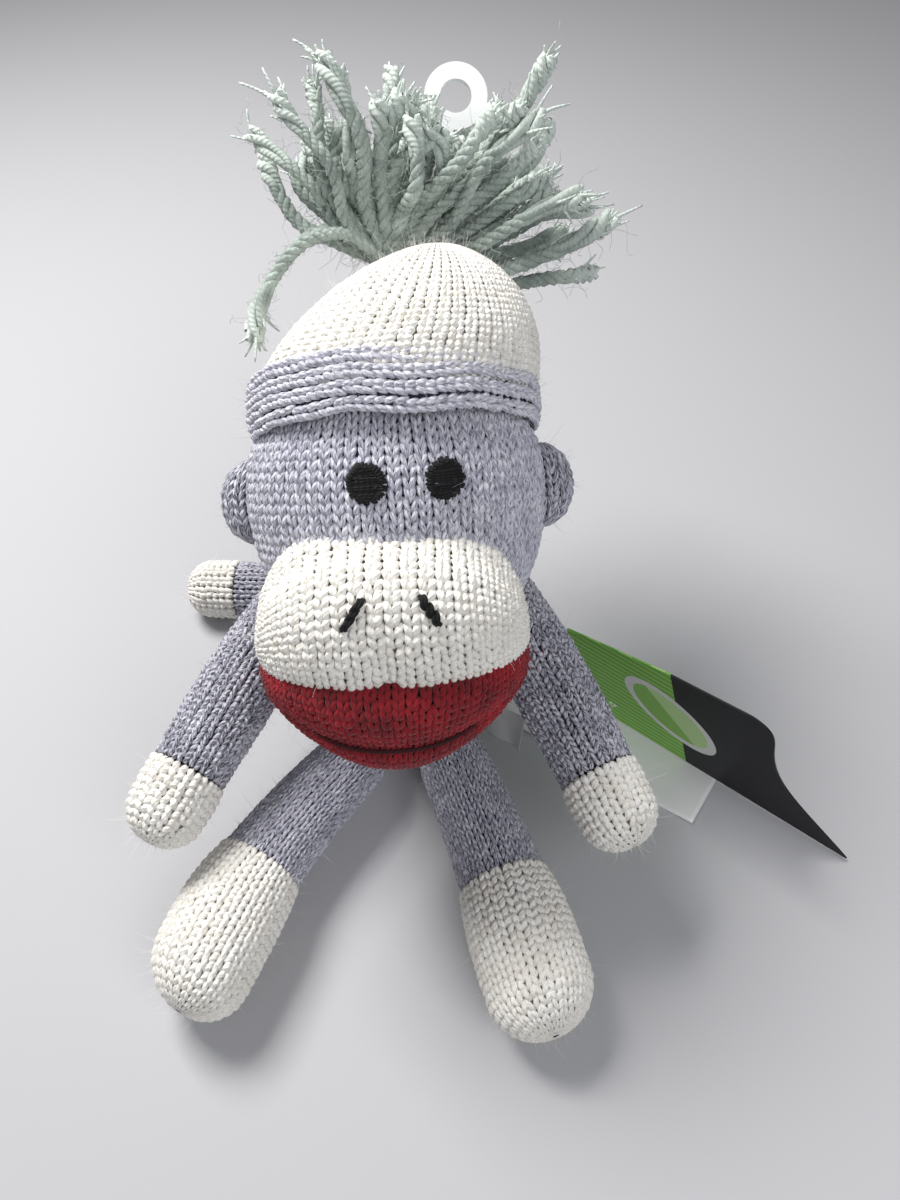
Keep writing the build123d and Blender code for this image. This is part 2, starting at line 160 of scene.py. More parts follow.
def yarn_material(name, light, shade, marl=None, marl_amount=0.5, twist_bump=0.45, sheen=0.12, tip=None):
    """Twisted yarn: plies by UV, fibres by noise, dark marl streaks where a second colour is given, and paler
    cut ends where a third is given, by the point attribute cut_end."""
    material, tree, main = shader(name, light, 0.92, sheen)
    uv = node(tree, "ShaderNodeUVMap", uv_map="UVMap").outputs[0]
    place = node(tree, "ShaderNodeTexCoord").outputs["Object"]
    slant = node(tree, "ShaderNodeMapping", {"Vector": uv, "Rotation": (0, 0, math.radians(38))}).outputs[0]
    plies = node(tree, "ShaderNodeTexWave", {"Vector": slant, "Scale": 0.42, "Distortion": 1.2,
                                             "Detail": 2.0, "Detail Scale": 1.6}, bands_direction="Y")
    fibres = node(tree, "ShaderNodeTexNoise", {"Vector": place, "Scale": 2600.0, "Detail": 5.0})
    patches = node(tree, "ShaderNodeTexNoise", {"Vector": place, "Scale": 190.0, "Detail": 3.0})
    depth = node(tree, "ShaderNodeMapRange", {"Value": patches.outputs[0], "From Min": 0.32, "From Max": 0.7})
    colour = blend_colours(tree, depth.outputs[0], shade, light)
    if marl:
        thread = node(tree, "ShaderNodeMapping", {"Vector": uv, "Rotation": (0, 0, math.radians(30)),
                                                  "Scale": (0.34, 1.5, 1)}).outputs[0]
        speck = node(tree, "ShaderNodeTexNoise", {"Vector": thread, "Scale": 1.7, "Detail": 2.0})
        streak = node(tree, "ShaderNodeMapRange",
                      {"Value": speck.outputs[0], "From Min": 0.47, "From Max": 0.58,
                                                   "To Max": marl_amount})
        colour = blend_colours(tree, streak.outputs[0], colour, marl)
    if tip:
        ends = node(tree, "ShaderNodeAttribute", attribute_name="cut_end").outputs["Fac"]
        colour = blend_colours(tree, ends, colour, tip)
    fine = node(tree, "ShaderNodeMapRange", {"Value": fibres.outputs[0], "From Min": 0.3, "From Max": 0.7,
                                             "To Min": 0.80, "To Max": 1.06})
    colour = blend_colours(tree, 1.0, colour, fine.outputs[0], "MULTIPLY")
    tree.links.new(colour, main.inputs["Base Color"])
    height = node(tree, "ShaderNodeMath", {0: plies.outputs["Fac"], 1: 1.0}, operation="MULTIPLY")
    both = node(tree, "ShaderNodeMath", {0: fibres.outputs[0], 1: 0.5, 2: height.outputs[0]},
                operation="MULTIPLY_ADD")
    bump = node(tree, "ShaderNodeBump", {"Height": both.outputs[0], "Strength": twist_bump,
                                         "Distance": 0.0003})
    tree.links.new(bump.outputs[0], main.inputs["Normal"])
    return material


GREY = yarn_material("grey_marl_yarn", (0.66, 0.66, 0.73), (0.46, 0.46, 0.55), (0.035, 0.035, 0.07), 0.7)
GREY_BOLD = yarn_material("grey_marl_yarn_bold", (0.68, 0.68, 0.75), (0.45, 0.45, 0.53),
                          (0.02, 0.02, 0.045), 0.8)
GREY_PALE = yarn_material("grey_marl_yarn_pale", (0.72, 0.72, 0.79), (0.56, 0.56, 0.65), (0.07, 0.07, 0.12),
                          0.6)
GREY_LIGHT = yarn_material("grey_marl_yarn_light", (0.76, 0.76, 0.82), (0.62, 0.62, 0.70),
                           (0.10, 0.10, 0.16), 0.5)
CREAM = yarn_material("cream_yarn", (0.88, 0.865, 0.825), (0.80, 0.77, 0.71))
RED = yarn_material("red_yarn", (0.33, 0.004, 0.013), (0.15, 0.002, 0.007))
SAGE = yarn_material("sage_yarn", (0.46, 0.53, 0.48), (0.26, 0.31, 0.28), tip=(0.66, 0.73, 0.68))
# Painted shade: dark copies of each yarn for the backing skin, standing for the shadow in the gaps between
# stitches.
GREY_GAP_SHADE = yarn_material("grey_gap_painted_shade", (0.045, 0.045, 0.075), (0.02, 0.02, 0.04))
CREAM_GAP_SHADE = yarn_material("cream_gap_painted_shade", (0.56, 0.50, 0.42), (0.42, 0.36, 0.29))
RED_GAP_SHADE = yarn_material("red_gap_painted_shade", (0.04, 0.001, 0.002), (0.02, 0.0005, 0.001))
GAP_SHADES = {GREY: GREY_GAP_SHADE, GREY_BOLD: GREY_GAP_SHADE, GREY_PALE: GREY_GAP_SHADE, GREY_LIGHT: GREY_GAP_SHADE, CREAM: CREAM_GAP_SHADE,
        RED: RED_GAP_SHADE}

# %% [markdown]
# ## Plain skins
# Knitting is a grid: its columns are called wales and its rows courses. Every piece here is a tube or a patch
# of such a grid, so its skin is made the way the machine makes it, from one ring of vertices that is extruded
# course by course and resized on the way. Modelling the skin with one vertex per stitch corner means that the
# yarn can follow it exactly afterwards.

# %% Helpers for skins
def ring_skin(wales, rings):
    """A tube of knitting about Z, one (centre, half width, half depth) ring per course, as a grid of points.
    The ring starts at the back (+Y) and runs round over +X."""
    bm = bmesh.new()
    layer = bm.verts.layers.int.new("wale")
    (x, y, z), wide, deep = rings[0]
    made = bmesh.ops.create_circle(bm, segments=wales, radius=1.0)["verts"]
    for number, vert in enumerate(made):
        vert[layer] = number
    bmesh.ops.scale(bm, vec=(wide, deep, 1), verts=made)
    bmesh.ops.translate(bm, vec=(x, y, z), verts=made)
    edges = list({edge for vert in made for edge in vert.link_edges})
    courses = [made]
    for before, after in zip(rings, rings[1:]):
        grown = bmesh.ops.extrude_edge_only(bm, edges=edges)["geom"]
        made = [part for part in grown if isinstance(part, bmesh.types.BMVert)]
        edges = [part for part in grown if isinstance(part, bmesh.types.BMEdge)]
        (old, old_wide, old_deep), (new, new_wide, new_deep) = before, after
        ratio = (new_wide / old_wide, new_deep / old_deep, 1)
        bmesh.ops.scale(bm, vec=ratio, verts=made, space=Matrix.Translation(-Vector(old)))
        bmesh.ops.translate(bm, vec=Vector(new) - Vector(old), verts=made)
        courses.append(made)
    grid = np.array([[vert.co[:] for vert in sorted(course, key=lambda v: v[layer])] for course in courses])
    bm.free()
    return grid


def sample(grid, u, v, loop_u, loop_v):
    """Points of the smooth surface through a grid of points, at wale u and course v, by Catmull-Rom curves."""
    def four(t, count, loop):
        whole = np.floor(t).astype(int)
        if not loop:
            whole = np.clip(whole, 0, count - 2)
        part = (t - whole)[..., None]
        index = whole[..., None] + np.arange(-1, 3)
        index = index % count if loop else np.clip(index, 0, count - 1)
        weight = np.concatenate([-part**3 + 2 * part**2 - part, 3 * part**3 - 5 * part**2 + 2,
                                 -3 * part**3 + 4 * part**2 + part, part**3 - part**2], axis=-1) / 2
        return index, weight
    rows, columns = grid.shape[:2]
    iu, wu = four(u, columns, loop_u)
    iv, wv = four(v, rows, loop_v)
    points = grid[iv[..., :, None], iu[..., None, :]]
    return np.einsum("...v,...u,...vuc->...c", wv, wu, points)


def curve_through(points, count):
    """count points evenly spaced along the smooth curve through points."""
    points = np.array(points, float)
    fine = np.linspace(0, len(points) - 1, 400)
    grid = np.stack([points, points], axis=1)
    dense = sample(grid, np.zeros_like(fine), fine, False, False)
    length = np.concatenate([[0], np.cumsum(np.linalg.norm(np.diff(dense, axis=0), axis=1))])
    even = np.linspace(0, length[-1], count)
    return np.stack([np.interp(even, length, dense[:, k]) for k in range(points.shape[1])], axis=1)


# %% [markdown]
# ## One stitch leg
# On the right side of stockinette, each stitch shows as two legs that lean apart like a V. A leg comes out
# between the two legs below it, arches over, and dives behind the stitch above. Only its outer side is ever
# seen, so one leg is an open half tube of 30 faces, and every stitch of the toy is two copies of it bent to
# the surface. numpy bends all the copies of a piece at once, because a loop over bmesh would take minutes.

# %% The stitch leg and how it is laid
ALONG, ACROSS = 6, 5
bm = bmesh.new()
bmesh.ops.create_grid(bm, x_segments=ALONG, y_segments=ACROSS, size=1.0)
leg_points = np.array([vert.co[:] for vert in bm.verts])
leg_faces = np.array([[vert.index for vert in face.verts] for face in bm.faces])
bm.free()
LEG_A = (leg_points[:, 0] + 1) / 2
LEG_B = leg_points[:, 1]
print("one stitch leg:", len(leg_points), "points,", len(leg_faces), "faces")


def frames_on(grid, u, v, loops):
    """Point and outward normal of the grid's surface at (u, v)."""
    step = 0.05
    point = sample(grid, u, v, *loops)
    du = sample(grid, u + step, v, *loops) - sample(grid, u - step, v, *loops)
    dv = sample(grid, u, v + step, *loops) - sample(grid, u, v - step, *loops)
    normal = np.cross(du, dv)
    normal /= np.maximum(np.linalg.norm(normal, axis=-1, keepdims=True), 1e-12)
    return point, normal


def lay_stitches(grid, wale_width, loops, leg_width, spread):
    """All the stitch legs over a grid of points: their points, faces and UVs."""
    rows, columns = grid.shape[:2]
    wales = columns if loops[0] else columns - 1
    courses = rows if loops[1] else rows - 1
    wale, course, side = np.meshgrid(np.arange(wales), np.arange(courses), (-1, 1), indexing="ij")
    wale, course, side = wale.ravel(), course.ravel(), side.ravel()
    count = len(wale)
    wobble = rng.normal(0, 1, (6, count))
    a = np.unique(LEG_A.round(6))
    lean = a * a * (3 - 2 * a)
    half_stitch = 0.10 + (spread + 0.02) * lean[None, :] + 0.012 * wobble[0][:, None]
    u = wale[:, None] + 0.5 + side[:, None] * half_stitch + 0.03 * wobble[1][:, None]
    v = course[:, None] - 0.30 + 1.62 * a[None, :] + 0.05 * wobble[2][:, None]
    centre, normal = frames_on(grid, u, v, loops)
    along = np.gradient(centre, axis=1)
    along /= np.maximum(np.linalg.norm(along, axis=-1, keepdims=True), 1e-12)
    across = np.cross(normal, along)
    beside = np.linalg.norm(sample(grid, wale + 1.0, course + 0.5, *loops)
                            - sample(grid, wale * 1.0, course + 0.5, *loops),
                            axis=-1)
    size = np.minimum(beside, wale_width * 1.15)[:, None] * (1 + 0.05 * wobble[3][:, None])
    taper = 1 - 0.42 * np.abs(2 * a - 1) ** 2.5
    half_wide = leg_width * size * taper
    half_high = 0.22 * size * taper
    arch = size * (0.26 * np.sin(np.pi * a[None, :]) - 0.13) + 0.015 * size * wobble[4][:, None]
    station = np.searchsorted(a, LEG_A.round(6))
    turn = LEG_B * math.radians(104)
    points = (centre[:, station] + normal[:, station] * (arch[:, station]
                                                         + half_high[:, station] * np.cos(turn))[..., None]
              + across[:, station] * (half_wide[:, station] * np.sin(turn))[..., None])
    faces = leg_faces[None] + (np.arange(count) * len(leg_points))[:, None, None]
    uv = np.stack(np.broadcast_arrays(LEG_A[None] * 3.0 + rng.uniform(0, 900, (count, 1)),
                                      LEG_B[None] * 1.0 + 0 * wobble[5][:, None]),
                  axis=-1)
    return points.reshape(-1, 3), faces.reshape(-1, 4), uv.reshape(-1, 2)


def backing(grid, loops, sink):
    """The plain skin under the stitches, sunk a little, which closes the gaps between them. In a knitted piece it
    takes a dark copy of its yarn, painted shade for those gaps.
    """
    rows, columns = grid.shape[:2]
    u, v = np.meshgrid(np.arange(columns, dtype=float), np.arange(rows, dtype=float))
    _, normal = frames_on(grid, u, v, loops)
    points = (grid - normal * sink).reshape(-1, 3)
    last_u, last_v = columns if loops[0] else columns - 1, rows if loops[1] else rows - 1
    c, r = np.meshgrid(np.arange(last_u), np.arange(last_v))
    c2, r2 = (c + 1) % columns, (r + 1) % rows
    faces = np.stack([r * columns + c, r * columns + c2, r2 * columns + c2, r2 * columns + c], axis=-1)
    uv = np.stack([u.ravel() * 3, v.ravel()], axis=-1)
    return points, faces.reshape(-1, 4), uv


def fuzz(grid, loops, how_many, length=3.6 * MM):
    """Loose fibres: thin curved ribbons that stand out of the surface at random."""
    rows, columns = grid.shape[:2]
    u = rng.uniform(0, columns if loops[0] else columns - 1, how_many)
    v = rng.uniform(0.3, rows - 1.3, how_many)
    point, normal = frames_on(grid, u, v, loops)
    lean = rng.normal(0, 1, (how_many, 3))
    bend = rng.normal(0, 1, (how_many, 3))
    reach = length * rng.uniform(0.35, 1.0, (how_many, 1))
    side = np.cross(normal, lean)
    side /= np.linalg.norm(side, axis=1, keepdims=True)
    steps = []
    for t in np.linspace(0, 1, 5):
        middle = (point + normal * (0.3 * MM + reach * (t - 0.25 * t * t))
                  + (lean * 0.45 * t + bend * 0.4 * t * t) * reach)
        half = side * (0.032 * MM * (1 - 0.6 * t))
        steps += [middle - half, middle + half]
    points = np.stack(steps, axis=1)
    strip = np.array([[2 * k, 2 * k + 1, 2 * k + 3, 2 * k + 2] for k in range(4)])
    faces = strip[None] + (np.arange(how_many) * 10)[:, None, None]
    uv = np.zeros((how_many * 10, 2))
    return points.reshape(-1, 3), faces.reshape(-1, 4), uv


def mesh_object(name, parts, materials, place=None, ends=None):
    """One object from several (points, faces, uv) parts, put in its place, smooth and finished. The second
    part takes the last material, and ends says for each point how much it belongs to a cut end."""
    points, faces, uvs, finish, start = [], [], [], [], 0
    for number, (part_points, part_faces, part_uv) in enumerate(parts):
        points.append(part_points)
        faces.append(part_faces + start)
        uvs.append(part_uv)
        finish.append(np.full(len(part_faces), len(materials) - 1 if number == 1 else 0))
        start += len(part_points)
    points, faces, uvs = np.concatenate(points), np.concatenate(faces), np.concatenate(uvs)
    if place is not None:
        turn = np.array(place)
        points = points @ turn[:3, :3].T + turn[:3, 3]
    points[:, 2] = np.maximum(points[:, 2], 0)  # what rests on the floor is pressed flat
    mesh = bpy.data.meshes.new(name)
    mesh.vertices.add(len(points))
    mesh.vertices.foreach_set("co", points.ravel())
    mesh.loops.add(faces.size)
    mesh.loops.foreach_set("vertex_index", faces.ravel())
    mesh.polygons.add(len(faces))
    mesh.polygons.foreach_set("loop_start", np.arange(0, faces.size, 4))
    mesh.update(calc_edges=True)
    mesh.validate()
    mesh.polygons.foreach_set("use_smooth", np.ones(len(mesh.polygons), bool))
    mesh.polygons.foreach_set("material_index", np.concatenate(finish))
    if ends is not None:
        mesh.attributes.new("cut_end", "FLOAT", "POINT").data.foreach_set("value", ends)
    corner = np.empty(len(mesh.loops), int)
    mesh.loops.foreach_get("vertex_index", corner)
    mesh.uv_layers.new(name="UVMap").data.foreach_set("uv", uvs[corner].ravel())
    for material in materials:
        mesh.materials.append(material)
    made = bpy.data.objects.new(name, mesh)
    scene.collection.objects.link(made)
    print(f"{name}: {len(mesh.polygons)} faces")
    return made


def knitted(name, grid, material, body, nodes, wale_width, loops=(True, False), place=None,
            fibres=120, leg_width=0.24, spread=0.25):
    """A finished knitted piece: stitches, backing in painted gap shade and fuzz, riding on its body in place of
    its CAD nodes.
    """
    parts = [lay_stitches(grid, wale_width, loops, leg_width, spread),
             backing(grid, loops, 0.12 * wale_width),
             fuzz(grid, loops, 3 * fibres)]
    # the backing, the second part, takes the dark painted shade of the gaps between stitches
    piece = mesh_object(name, parts, (material, GAP_SHADES[material]), place)
    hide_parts(*nodes)
    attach(piece, body)
    return piece


# %% [markdown]
# ## Limbs
# An arm, a leg or the tail is a straight tube of knitting with a cream end. The CAD model says where its far
# end is: the middle of the cream node's points lies on the limb's axis, and the joint is its other end. The
# skin is laid along that axis. A little bow in the tube keeps it from looking turned on a lathe.

# %% Helpers for limbs
def node_points(name):
    """The points of a CAD node, in the row frame."""
    mesh = frame["nodes"][name].data
    points = np.empty(len(mesh.vertices) * 3)
    mesh.vertices.foreach_get("co", points)
    return points.reshape(-1, 3)


def limb_place(pivot, end_node):
    """The matrix that lays a tube made along Z from pivot towards the middle of end_node, and its length."""
    points = node_points(end_node)
    middle = Vector((points.min(0) + points.max(0)) / 2)
    axis = (Vector(points.mean(0)) - pivot).normalized()
    axis = ((middle - pivot).normalized() + axis).normalized()
    level = axis.cross(Vector((0, 0, 1))).normalized()
    upward = axis.cross(level)
    length = ((points - np.array(pivot)) @ np.array(axis)).max()
    place = Matrix.Translation(pivot) @ Matrix((level, upward, axis)).transposed().to_4x4()
    return place, length


def round_tube(stations, course, length, bow):
    """Rings of a tube with round ends through (radius, distance) stations, one course apart along its skin."""
    first, last = stations[0], stations[-1]
    outline = []
    for angle in np.linspace(-84, -12, 6):
        turn = math.radians(angle)
        outline.append((first[0] * math.cos(turn), first[1] + first[0] * math.sin(turn)))
    outline += stations
    for angle in np.linspace(14, 86, 7):
        turn = math.radians(angle)
        outline.append((last[0] * math.cos(turn), last[1] + last[0] * math.sin(turn)))
    fine = curve_through(outline, 200)
    skin_length = np.linalg.norm(np.diff(fine, axis=0), axis=1).sum()
    even = curve_through(outline, int(round(skin_length / course)) + 1)
    rings = []
    for radius, distance in even:
        share = np.clip(distance / length, 0, 1)
        sag = math.sin(math.pi * share)
        rings.append(((bow[0] * sag, -bow[1] * sag, distance), max(radius, 0.6 * MM), max(radius, 0.6 * MM)))
    return rings


def sewn_limb(names, body, pivot, end_node, stations, seam, knit, nodes, bow, bold):
    """A limb: grey sleeve and cream end, knitted separately and meeting at the seam."""
    place, length = limb_place(pivot, end_node)
    grey_wale, grey_course, cream_wale, cream_course = knit
    widest = max(radius for radius, _ in stations)
    rings = round_tube(stations, grey_course, length, bow)
    grey_rings = [ring for ring in rings if ring[0][2] < seam + grey_course * 0.6]
    grey = ring_skin(int(round(2 * math.pi * widest / grey_wale)), grey_rings)
    sleeve = knitted(names[0], grey, bold, body, nodes[:2], grey_wale, place=place, fibres=160,
                     leg_width=0.205, spread=0.23)
    rings = round_tube(stations, cream_course, length, bow)
    cream_rings = [((x, y, z), wide * 1.02, deep * 1.02)
                   for (x, y, z), wide, deep in rings if z > seam - cream_course * 0.4]
    cream = ring_skin(int(round(2 * math.pi * widest / cream_wale)), cream_rings)
    end = knitted(names[1], cream, CREAM, body, nodes[2:], cream_wale, place=place, fibres=110)
    return sleeve, end


# %% Arms
LIMB_KNIT = {"arm": (3.3 * MM, 1.75 * MM, 4.1 * MM, 2.0 * MM),
             "leg": (2.8 * MM, 2.2 * MM, 3.5 * MM, 2.2 * MM),
             "tail": (3.0 * MM, 2.0 * MM, 3.8 * MM, 2.2 * MM)}
arm_stations = [(8.4 * MM, 0), (8.8 * MM, 10 * MM), (9.7 * MM, 26 * MM), (9.8 * MM, 45 * MM),
                (9.2 * MM, 61 * MM),
                (9.3 * MM, 67 * MM), (9.0 * MM, 73.5 * MM)]
for side in ("left", "right"):
    shoulder = Vector(JOINTS[f"arm_swing_{side}"]["pos_m"])
    sewn_limb((f"knit_arm_{side}", f"knit_hand_{side}"), f"arm_{side}", shoulder, f"hand_{side}",
              arm_stations,
              62.5 * MM, LIMB_KNIT["arm"], (f"arm_sleeve_{side}", f"arm_stuffing_{side}", f"hand_{side}"),
              (0, 2.2 * MM), GREY_BOLD)

# %% Legs
leg_stations = [(9.5 * MM, 0), (9.9 * MM, 8 * MM), (10.3 * MM, 22 * MM), (10.9 * MM, 37 * MM),
                (12.1 * MM, 45 * MM),
                (12.7 * MM, 55 * MM), (12.5 * MM, 66 * MM)]
for side in ("left", "right"):
    hip = Vector(JOINTS[f"leg_swing_{side}"]["pos_m"])
    sewn_limb((f"knit_leg_{side}", f"knit_foot_{side}"), f"leg_{side}", hip, f"foot_{side}", leg_stations,
              37.5 * MM, LIMB_KNIT["leg"], (f"leg_sleeve_{side}", f"leg_stuffing_{side}", f"foot_{side}"),
              (4.0 * MM if side == "left" else -1.0 * MM, 0.6 * MM), GREY)

# %% Tail
tail_root = Vector(JOINTS["tail_wag"]["pos_m"])
tail_stations = [(8.5 * MM, 0), (8.8 * MM, 20 * MM), (8.7 * MM, 40 * MM), (8.5 * MM, 59 * MM)]
sewn_limb(("knit_tail", "knit_tail_tip"), "tail", tail_root, "tail_tip", tail_stations, 49.6 * MM,
          LIMB_KNIT["tail"],
          ("tail_sleeve", "tail_stuffing", "tail_tip"), (0, 0), GREY)

# %% [markdown]
# ## Torso
# The torso is a pear-shaped bag that stands on a flat seat. It is knitted as a tube from the seat upwards and
# gathered at the neck, so its rings run up the same pear outline as the CAD casing.

# %% Torso
torso_low, torso_high = (Vector(corner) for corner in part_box("torso_casing"))
torso_middle_y = (torso_low.y + torso_high.y) / 2
torso_outline = [(2 * MM, 0.5 * MM), (8 * MM, 0.5 * MM), (13.4 * MM, 0.9 * MM), (19.5 * MM, 5 * MM),
                 (24 * MM, 12 * MM), (25.5 * MM, 21 * MM),
                 (24.6 * MM, 29 * MM), (22 * MM, 36 * MM), (18.2 * MM, 43 * MM), (14.8 * MM, 49 * MM),
                 (12.4 * MM, 54 * MM), (10.8 * MM, 58 * MM), (7.5 * MM, 60.2 * MM), (1.5 * MM, 61 * MM)]
TORSO_WALE = 3.0 * MM
torso_rings = [((0, torso_middle_y - 0.09 * max(z - 40 * MM, 0), z), radius, radius)
               for radius, z in curve_through(torso_outline, 43)]
torso_grid = ring_skin(52, torso_rings)
knitted("knit_torso", torso_grid, GREY, "torso", ("torso_casing", "torso_stuffing"), TORSO_WALE)

# %% [markdown]
# ## Head
# The head is built upright in its own frame, with X to the right, Y to the back and Z to the crown, and then
# tilted back to look up. The barrel is a little flatter from front to back than it is wide.

# %% Head
HEAD_MIDDLE = Vector((1, -8, 95)) * MM
HEAD_LEAN_BACK, HEAD_LEAN_SIDE = math.radians(-40), math.radians(-3.5)
HEAD_PLACE = (Matrix.Translation(HEAD_MIDDLE) @ Matrix.Rotation(HEAD_LEAN_BACK, 4, "X")
              @ Matrix.Rotation(HEAD_LEAN_SIDE, 4, "Y"))
head_outline = [(2, -35.5), (12, -34.2), (21, -30), (28, -23), (32.4, -14), (34.4, -4), (34.8, 4), (34.0, 11),
                (31.9, 17), (30.2, 21.5), (29, 29)]
HEAD_WALE = 3.0 * MM
head_rings = [((0, 0, z * MM), radius * MM, radius * 0.93 * MM)
              for radius, z in curve_through(head_outline, 38)]
head_grid = ring_skin(72, head_rings)
knitted("knit_head", head_grid, GREY_PALE, "head", ("head_casing", "head_stuffing"), HEAD_WALE,
        place=HEAD_PLACE, fibres=320, leg_width=0.212)

# %% [markdown]
# ## Muzzle and mouth
# The muzzle is a big oval pad sewn to the face. Its wales run up and down, so its skin is a patch: one profile
# curve from the brow to the chin, repeated from side to side and shrunk towards the cheeks. The cream part
# bulges over the red mouth, and the mouth has a crease between its two lips.

# %% Muzzle and mouth
MUZZLE_HALF_WIDTH = 29.6
MUZZLE_MIDDLE = np.array([20.0, -30.0])
CREAM_PROFILE = [(2, -30), (3, -14), (11, -4), (25, -1), (33.0, -7.2), (39.3, -10.6), (43.0, -16),
                 (44.2, -22), (43.2, -29), (40.3, -34.2), (38.2, -35.4)]
RED_PROFILE = [(36.5, -33.4), (39.6, -36.2), (40.6, -40.5), (38.8, -45.6), (35.4, -49.4), (34.9, -51.0),
               (34.6, -53.2),
               (30.5, -56), (24, -56.6), (14, -53.5), (5, -44), (2, -31)]


def muzzle_grid(profile, course, wales, droop, chin):
    """A patch of knitting over the muzzle: the profile from side to side, as (course, wale) points. droop cuts
    a cleft in the middle, and chin narrows the lower end."""
    length = np.linalg.norm(np.diff(curve_through(profile, 200), axis=0), axis=1).sum()
    line = curve_through(profile, int(round(length / course)) + 1)
    columns = []
    for angle in np.linspace(-85, 85, wales + 1):
        x = MUZZLE_HALF_WIDTH * math.sin(math.radians(angle))
        share = (1 - abs(x / MUZZLE_HALF_WIDTH) ** 2.3) ** (1 / 2.3)
        cleft = math.exp(-((x + 0.8) / 2.2) ** 2)
        column = MUZZLE_MIDDLE + (line - MUZZLE_MIDDLE) * share
        low = np.clip((line[:, 1] + 20) / -15, 0, 1)
        column = column - np.outer(low * cleft * droop, np.array([1.0, -0.5]))
        narrow = 1 - chin * np.clip((-37 - column[:, 1]) / 18, 0, 1) ** 1.3
        columns.append(np.stack([x * narrow - 1.8, -column[:, 0], column[:, 1]], axis=1))
    return np.stack(columns, axis=1)[::-1] * MM


cream_grid = muzzle_grid(CREAM_PROFILE, 2.3, 24, 1.6, 0)
knitted("knit_muzzle", cream_grid, CREAM, "head", ("muzzle_upper", "muzzle_stuffing"), 4.0 * MM,
        loops=(False, False), place=HEAD_PLACE, fibres=260)
red_grid = muzzle_grid(RED_PROFILE, 2.1, 30, 0.0, 0.3)
knitted("knit_mouth", red_grid, RED, "head", ("mouth",), 3.6 * MM, loops=(False, False),
        place=HEAD_PLACE,
        fibres=140)

# %% [markdown]
# ## Hat
# The hat is a cream dome with a rolled grey band. The dome is a tube that was gathered at the top, and it
# leans to one side because its stuffing stops short. The band was knitted sideways, so its stitches lie down and
# run round the head. Swapping wales and courses in the grid gives exactly that.

# %% Hat
HAT_WALE = 3.9 * MM
crown_outline = [(31.6, 19), (32.2, 26), (31.0, 33), (27.4, 41), (21.4, 48.5), (14.4, 54), (7.4, 57.6),
                 (3.0, 58.8), (0.8, 59)]
crown_rings = []
for radius, z in curve_through(crown_outline, 31):
    lean = 0.8 + 11.5 * np.clip((z - 22) / 36, 0, 1) ** 1.1
    crown_rings.append(((lean * MM, 1.5 * MM * np.clip((z - 22) / 36, 0, 1), z * MM), radius * MM,
                        radius * 0.96 * MM))
crown_grid = ring_skin(56, crown_rings)
crown_grid[..., 2] -= crown_grid[..., 1] * 0.158 * np.clip((44 * MM - crown_grid[..., 2]) / (22 * MM), 0, 1)
knitted("knit_hat", crown_grid, CREAM, "head", ("hat_crown", "hat_stuffing"), HAT_WALE,
        place=HEAD_PLACE, fibres=320, spread=0.22, leg_width=0.25)

CUFF_WALES, CUFF_HEIGHT = 4, 13.2
cuff_rings = []
for share in np.linspace(0, 1, 2 * CUFF_WALES + 1):
    z = CUFF_HEIGHT * (share - 0.5)
    bulge = 32.7 + 1.0 * math.sin(math.pi * share) ** 0.5
    cuff_rings.append(((0.8 * MM, 0, z * MM), bulge * MM, bulge * 0.96 * MM))
cuff = ring_skin(100, cuff_rings)[::2]
cuff_turn = np.array(Matrix.Rotation(math.radians(-9), 3, "X"))
angle = np.linspace(0, 2 * math.pi, 100, endpoint=False)
cuff = cuff + np.stack([0 * angle, 0 * angle,
                        0.35 * MM * np.sin(5 * angle + 0.6) + 0.3 * MM * np.sin(9 * angle)], axis=-1)
cuff = cuff @ cuff_turn.T + np.array((0, 0, 22.6)) * MM
cuff_grid = cuff[::-1].transpose(1, 0, 2)
knitted("knit_cuff", cuff_grid, GREY_LIGHT, "head", ("hat_cuff",), CUFF_HEIGHT / CUFF_WALES * MM,
        loops=(False, True), place=HEAD_PLACE, fibres=200, leg_width=0.225, spread=0.2)

# %% Ears
for side, sign in (("left", -1), ("right", 1)):
    ear_rings = []
    for share in np.linspace(-0.97, 0.97, 10):
        wide = math.sqrt(1 - share * share)
        ear_rings.append(((sign * (33.0 + 1.2 * wide) * MM, 1.5 * MM, (2.0 + 10.2 * share) * MM),
                          (1.5 + 6.6 * wide) * MM, (1.0 + 4.2 * wide) * MM))
    knitted(f"knit_ear_{side}", ring_skin(15, ear_rings), GREY_BOLD, "head", (f"ear_{side}",),
            2.6 * MM,
            place=HEAD_PLACE, fibres=50, leg_width=0.205)

# %% [markdown]
# ## Thread
# Embroidery is made of plain round thread. One helper sweeps a small ring of points along many paths at once.

